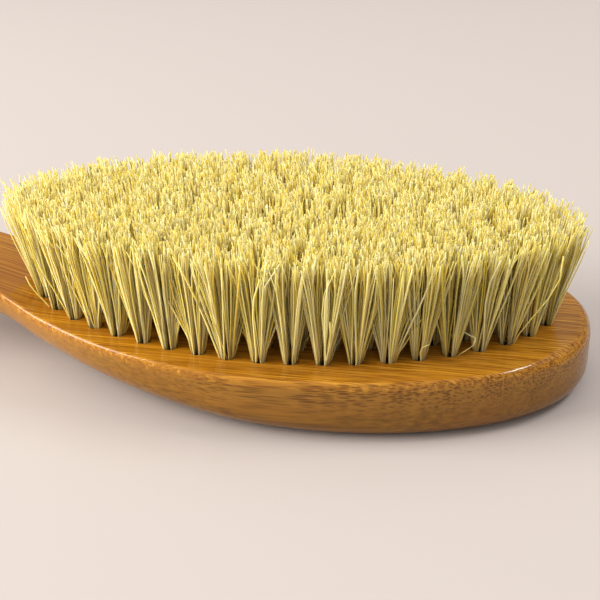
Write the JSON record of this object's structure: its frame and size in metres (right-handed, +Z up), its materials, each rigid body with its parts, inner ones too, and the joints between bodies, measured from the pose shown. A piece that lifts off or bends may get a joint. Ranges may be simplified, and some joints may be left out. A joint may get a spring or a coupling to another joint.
{
  "type": "body dry brush",
  "caption": "Long-handled bamboo body brush for dry skin, its oval head set with rows of trimmed natural fibre tufts held by wire staples.",
  "frame": {"origin": "on the resting plane under the middle of the brush's bounding box, as it lies on its back", "axes": "+X from the handle's end to the head's free end, +Y across the brush, +Z up, the way the fibres point"},
  "size_m": [0.39, 0.073, 0.036],
  "materials": {
    "lacquered_bamboo": "clear gloss lacquer over honey-coloured bamboo",
    "sisal_fibre": "matt straw-coloured plant fibre",
    "staple_wire": "dull flat wire"
  },
  "bodies": {
    "root": {"edge_tuft_01": "sisal_fibre", "edge_tuft_02": "sisal_fibre", "edge_tuft_03": "sisal_fibre", "edge_tuft_04": "sisal_fibre", "edge_tuft_05": "sisal_fibre", "edge_tuft_06": "sisal_fibre", "edge_tuft_07": "sisal_fibre", "edge_tuft_08": "sisal_fibre", "edge_tuft_09": "sisal_fibre", "edge_tuft_10": "sisal_fibre", "edge_tuft_11": "sisal_fibre", "edge_tuft_12": "sisal_fibre", "edge_tuft_13": "sisal_fibre", "edge_tuft_14": "sisal_fibre", "edge_tuft_15": "sisal_fibre", "edge_tuft_16": "sisal_fibre", "edge_tuft_17": "sisal_fibre", "edge_tuft_18": "sisal_fibre", "edge_tuft_19": "sisal_fibre", "edge_tuft_20": "sisal_fibre", "edge_tuft_21": "sisal_fibre", "edge_tuft_22": "sisal_fibre", "edge_tuft_23": "sisal_fibre", "edge_tuft_24": "sisal_fibre", "edge_tuft_25": "sisal_fibre", "edge_tuft_26": "sisal_fibre", "edge_tuft_27": "sisal_fibre", "edge_tuft_28": "sisal_fibre", "edge_tuft_29": "sisal_fibre", "edge_tuft_30": "sisal_fibre", "edge_tuft_31": "sisal_fibre", "edge_tuft_32": "sisal_fibre", "edge_tuft_33": "sisal_fibre", "edge_tuft_34": "sisal_fibre", "edge_tuft_35": "sisal_fibre", "edge_tuft_36": "sisal_fibre", "edge_tuft_37": "sisal_fibre", "edge_tuft_38": "sisal_fibre", "edge_tuft_39": "sisal_fibre", "edge_tuft_40": "sisal_fibre", "edge_tuft_41": "sisal_fibre", "edge_tuft_42": "sisal_fibre", "inner_tufts_ring_2": "sisal_fibre", "inner_tufts_ring_3": "sisal_fibre", "inner_tufts_ring_4": "sisal_fibre", "inner_tufts_ring_5": "sisal_fibre", "paddle": "lacquered_bamboo", "staple_26": "staple_wire", "staple_27": "staple_wire", "staple_28": "staple_wire", "staple_29": "staple_wire", "staple_30": "staple_wire", "staple_31": "staple_wire", "staple_32": "staple_wire", "staple_33": "staple_wire", "staple_34": "staple_wire", "staple_35": "staple_wire", "staple_36": "staple_wire", "staple_37": "staple_wire", "staple_38": "staple_wire"}
  },
  "joints": []
}
